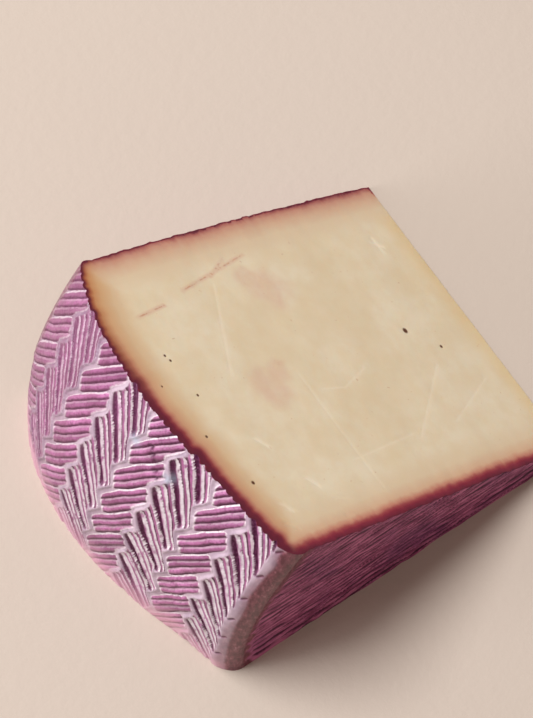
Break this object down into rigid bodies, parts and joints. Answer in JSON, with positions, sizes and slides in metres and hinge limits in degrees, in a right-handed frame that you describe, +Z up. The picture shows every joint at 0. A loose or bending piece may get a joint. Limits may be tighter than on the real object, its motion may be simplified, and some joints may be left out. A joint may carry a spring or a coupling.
{
  "type": "wedge of wine-soaked goat cheese",
  "caption": "Wedge cut from a low round goat cheese wheel, lying on a cut face, with a wine-stained rind plaited round the rim and ridged on the flats.",
  "frame": {"origin": "middle of the wedge's bounding box, on the table plane that the lower cut face rests on", "axes": "+Z up from the lower cut face; +X from the plaited rim towards the thin tip edge; +Y along the wheel's axis, from the front flat to the back flat"},
  "size_m": [0.1032, 0.081, 0.0545],
  "materials": {
    "cheese": "waxy, satin"
  },
  "bodies": {
    "root": {"cheese_wedge": "cheese"}
  },
  "joints": []
}
